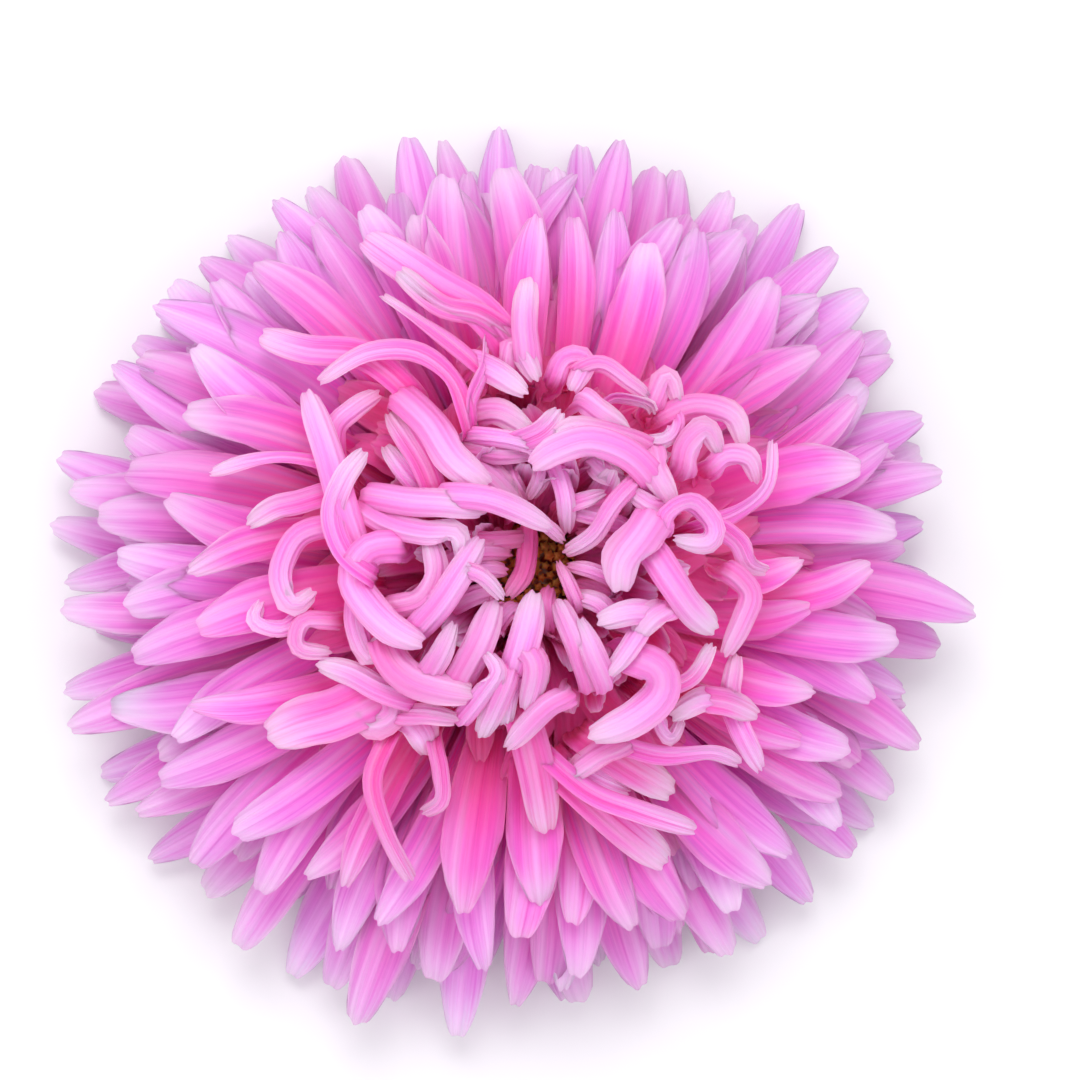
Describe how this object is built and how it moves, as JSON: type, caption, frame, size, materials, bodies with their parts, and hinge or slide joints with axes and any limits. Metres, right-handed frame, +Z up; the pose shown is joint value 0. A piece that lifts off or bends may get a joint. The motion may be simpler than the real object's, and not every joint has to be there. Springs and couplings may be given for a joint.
{
  "type": "cut china aster bloom",
  "caption": "Double pompon-like aster flower head cut with a short stub of stem, long pink strap florets around curled inner ones over a small disc, lying face up.",
  "frame": {"origin": "on the surface that the bloom lies on, below the middle of its round footprint", "axes": "+Z up out of the bloom's face, along its axis; +Y towards the top of the bloom as it is pictured"},
  "size_m": [0.111, 0.111, 0.0443],
  "materials": {
    "outer_floret": "satin",
    "middle_floret": "satin",
    "inner_floret": "satin",
    "disc_floret": "matt",
    "leafy_bract": "matt",
    "papery_bract": "matt",
    "receptacle_flesh": "matt",
    "stem_skin": "satin"
  },
  "bodies": {
    "root": {"stem": "stem_skin", "receptacle": "receptacle_flesh", "inner_bracts": "papery_bract", "upper_bract_01": "leafy_bract", "upper_bract_02": "leafy_bract", "upper_bract_03": "leafy_bract", "upper_bract_04": "leafy_bract", "upper_bract_05": "leafy_bract", "upper_bract_06": "leafy_bract", "upper_bract_07": "leafy_bract", "upper_bract_08": "leafy_bract", "lower_bract_01": "leafy_bract", "lower_bract_02": "leafy_bract", "lower_bract_03": "leafy_bract", "lower_bract_04": "leafy_bract", "lower_bract_05": "leafy_bract", "lower_bract_06": "leafy_bract", "lower_bract_07": "leafy_bract", "lower_bract_08": "leafy_bract", "lowest_floret_01": "outer_floret", "lowest_floret_02": "outer_floret", "lowest_floret_03": "outer_floret", "lowest_floret_04": "outer_floret", "lowest_floret_05": "outer_floret", "lowest_floret_06": "outer_floret", "lowest_floret_07": "outer_floret", "lowest_floret_08": "outer_floret", "lowest_floret_09": "outer_floret", "lowest_floret_10": "outer_floret", "lowest_floret_11": "outer_floret", "lowest_floret_12": "outer_floret", "lowest_floret_13": "outer_floret", "lowest_floret_14": "outer_floret", "lowest_floret_15": "outer_floret", "lowest_floret_16": "outer_floret", "lowest_floret_17": "outer_floret", "lowest_floret_18": "outer_floret", "lowest_floret_19": "outer_floret", "lowest_floret_20": "outer_floret", "lowest_floret_21": "outer_floret", "lowest_floret_22": "outer_floret", "lowest_floret_23": "outer_floret", "lowest_floret_24": "outer_floret", "floret_whorl_02": "outer_floret", "floret_whorl_03": "outer_floret", "floret_whorl_04": "outer_floret", "floret_whorl_05": "outer_floret", "floret_whorl_06": "middle_floret", "floret_whorl_07": "middle_floret", "floret_whorl_08": "middle_floret", "floret_whorl_09": "inner_floret", "floret_whorl_10": "inner_floret", "floret_whorl_11": "inner_floret", "disc_florets": "disc_floret"}
  },
  "joints": []
}
